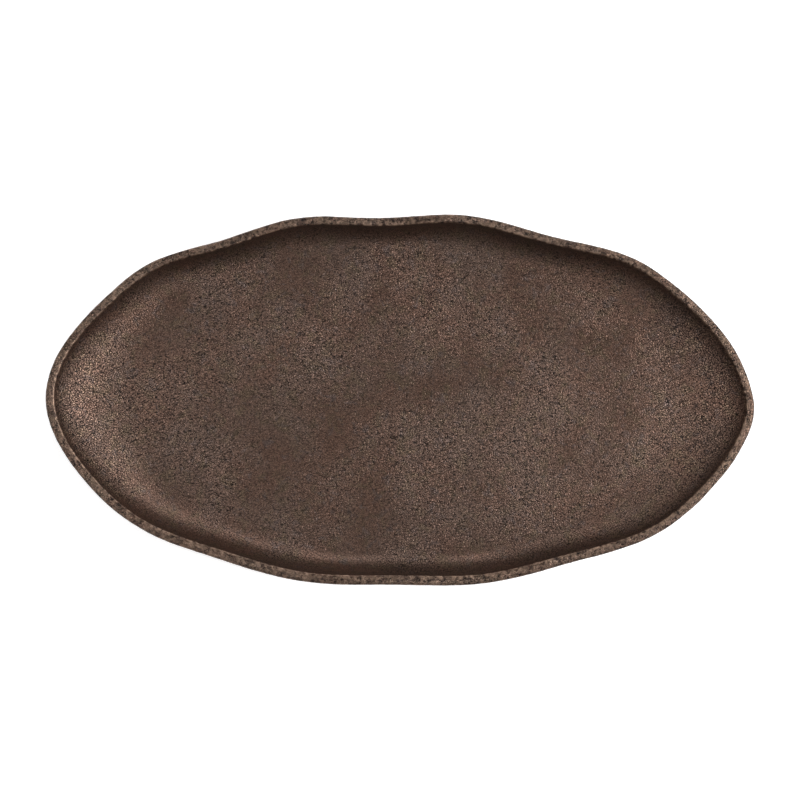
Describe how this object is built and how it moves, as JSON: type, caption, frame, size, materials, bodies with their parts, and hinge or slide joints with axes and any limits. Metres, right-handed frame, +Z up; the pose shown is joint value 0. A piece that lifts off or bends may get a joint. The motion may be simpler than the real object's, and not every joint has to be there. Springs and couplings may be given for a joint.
{
  "type": "tray",
  "caption": "Long oval serving tray with a gently waved, thick rounded rim, a flat pebble-grained floor and stick-on felt pads beneath, in aged copper.",
  "frame": {"origin": "under the middle of the tray's overall box, on the surface that its felt pads stand on", "axes": "+X along the tray's length, +Y across its width towards the back, +Z up out of the floor"},
  "size_m": [0.4572, 0.2394, 0.0265],
  "materials": {
    "aged_copper": "cast aluminium with a dark aged copper finish, pebble-grained, satin, rubbed lighter on the rim",
    "felt": "pressed wool felt, dark brown",
    "adhesive": "thin translucent adhesive film"
  },
  "bodies": {
    "root": {"tray_body": "aged_copper", "felt_pad_front_left": "felt", "felt_pad_front_right": "felt", "felt_pad_back_left": "felt", "felt_pad_back_right": "felt", "adhesive_film_front_left": "adhesive", "adhesive_film_front_right": "adhesive", "adhesive_film_back_left": "adhesive", "adhesive_film_back_right": "adhesive"}
  },
  "joints": []
}
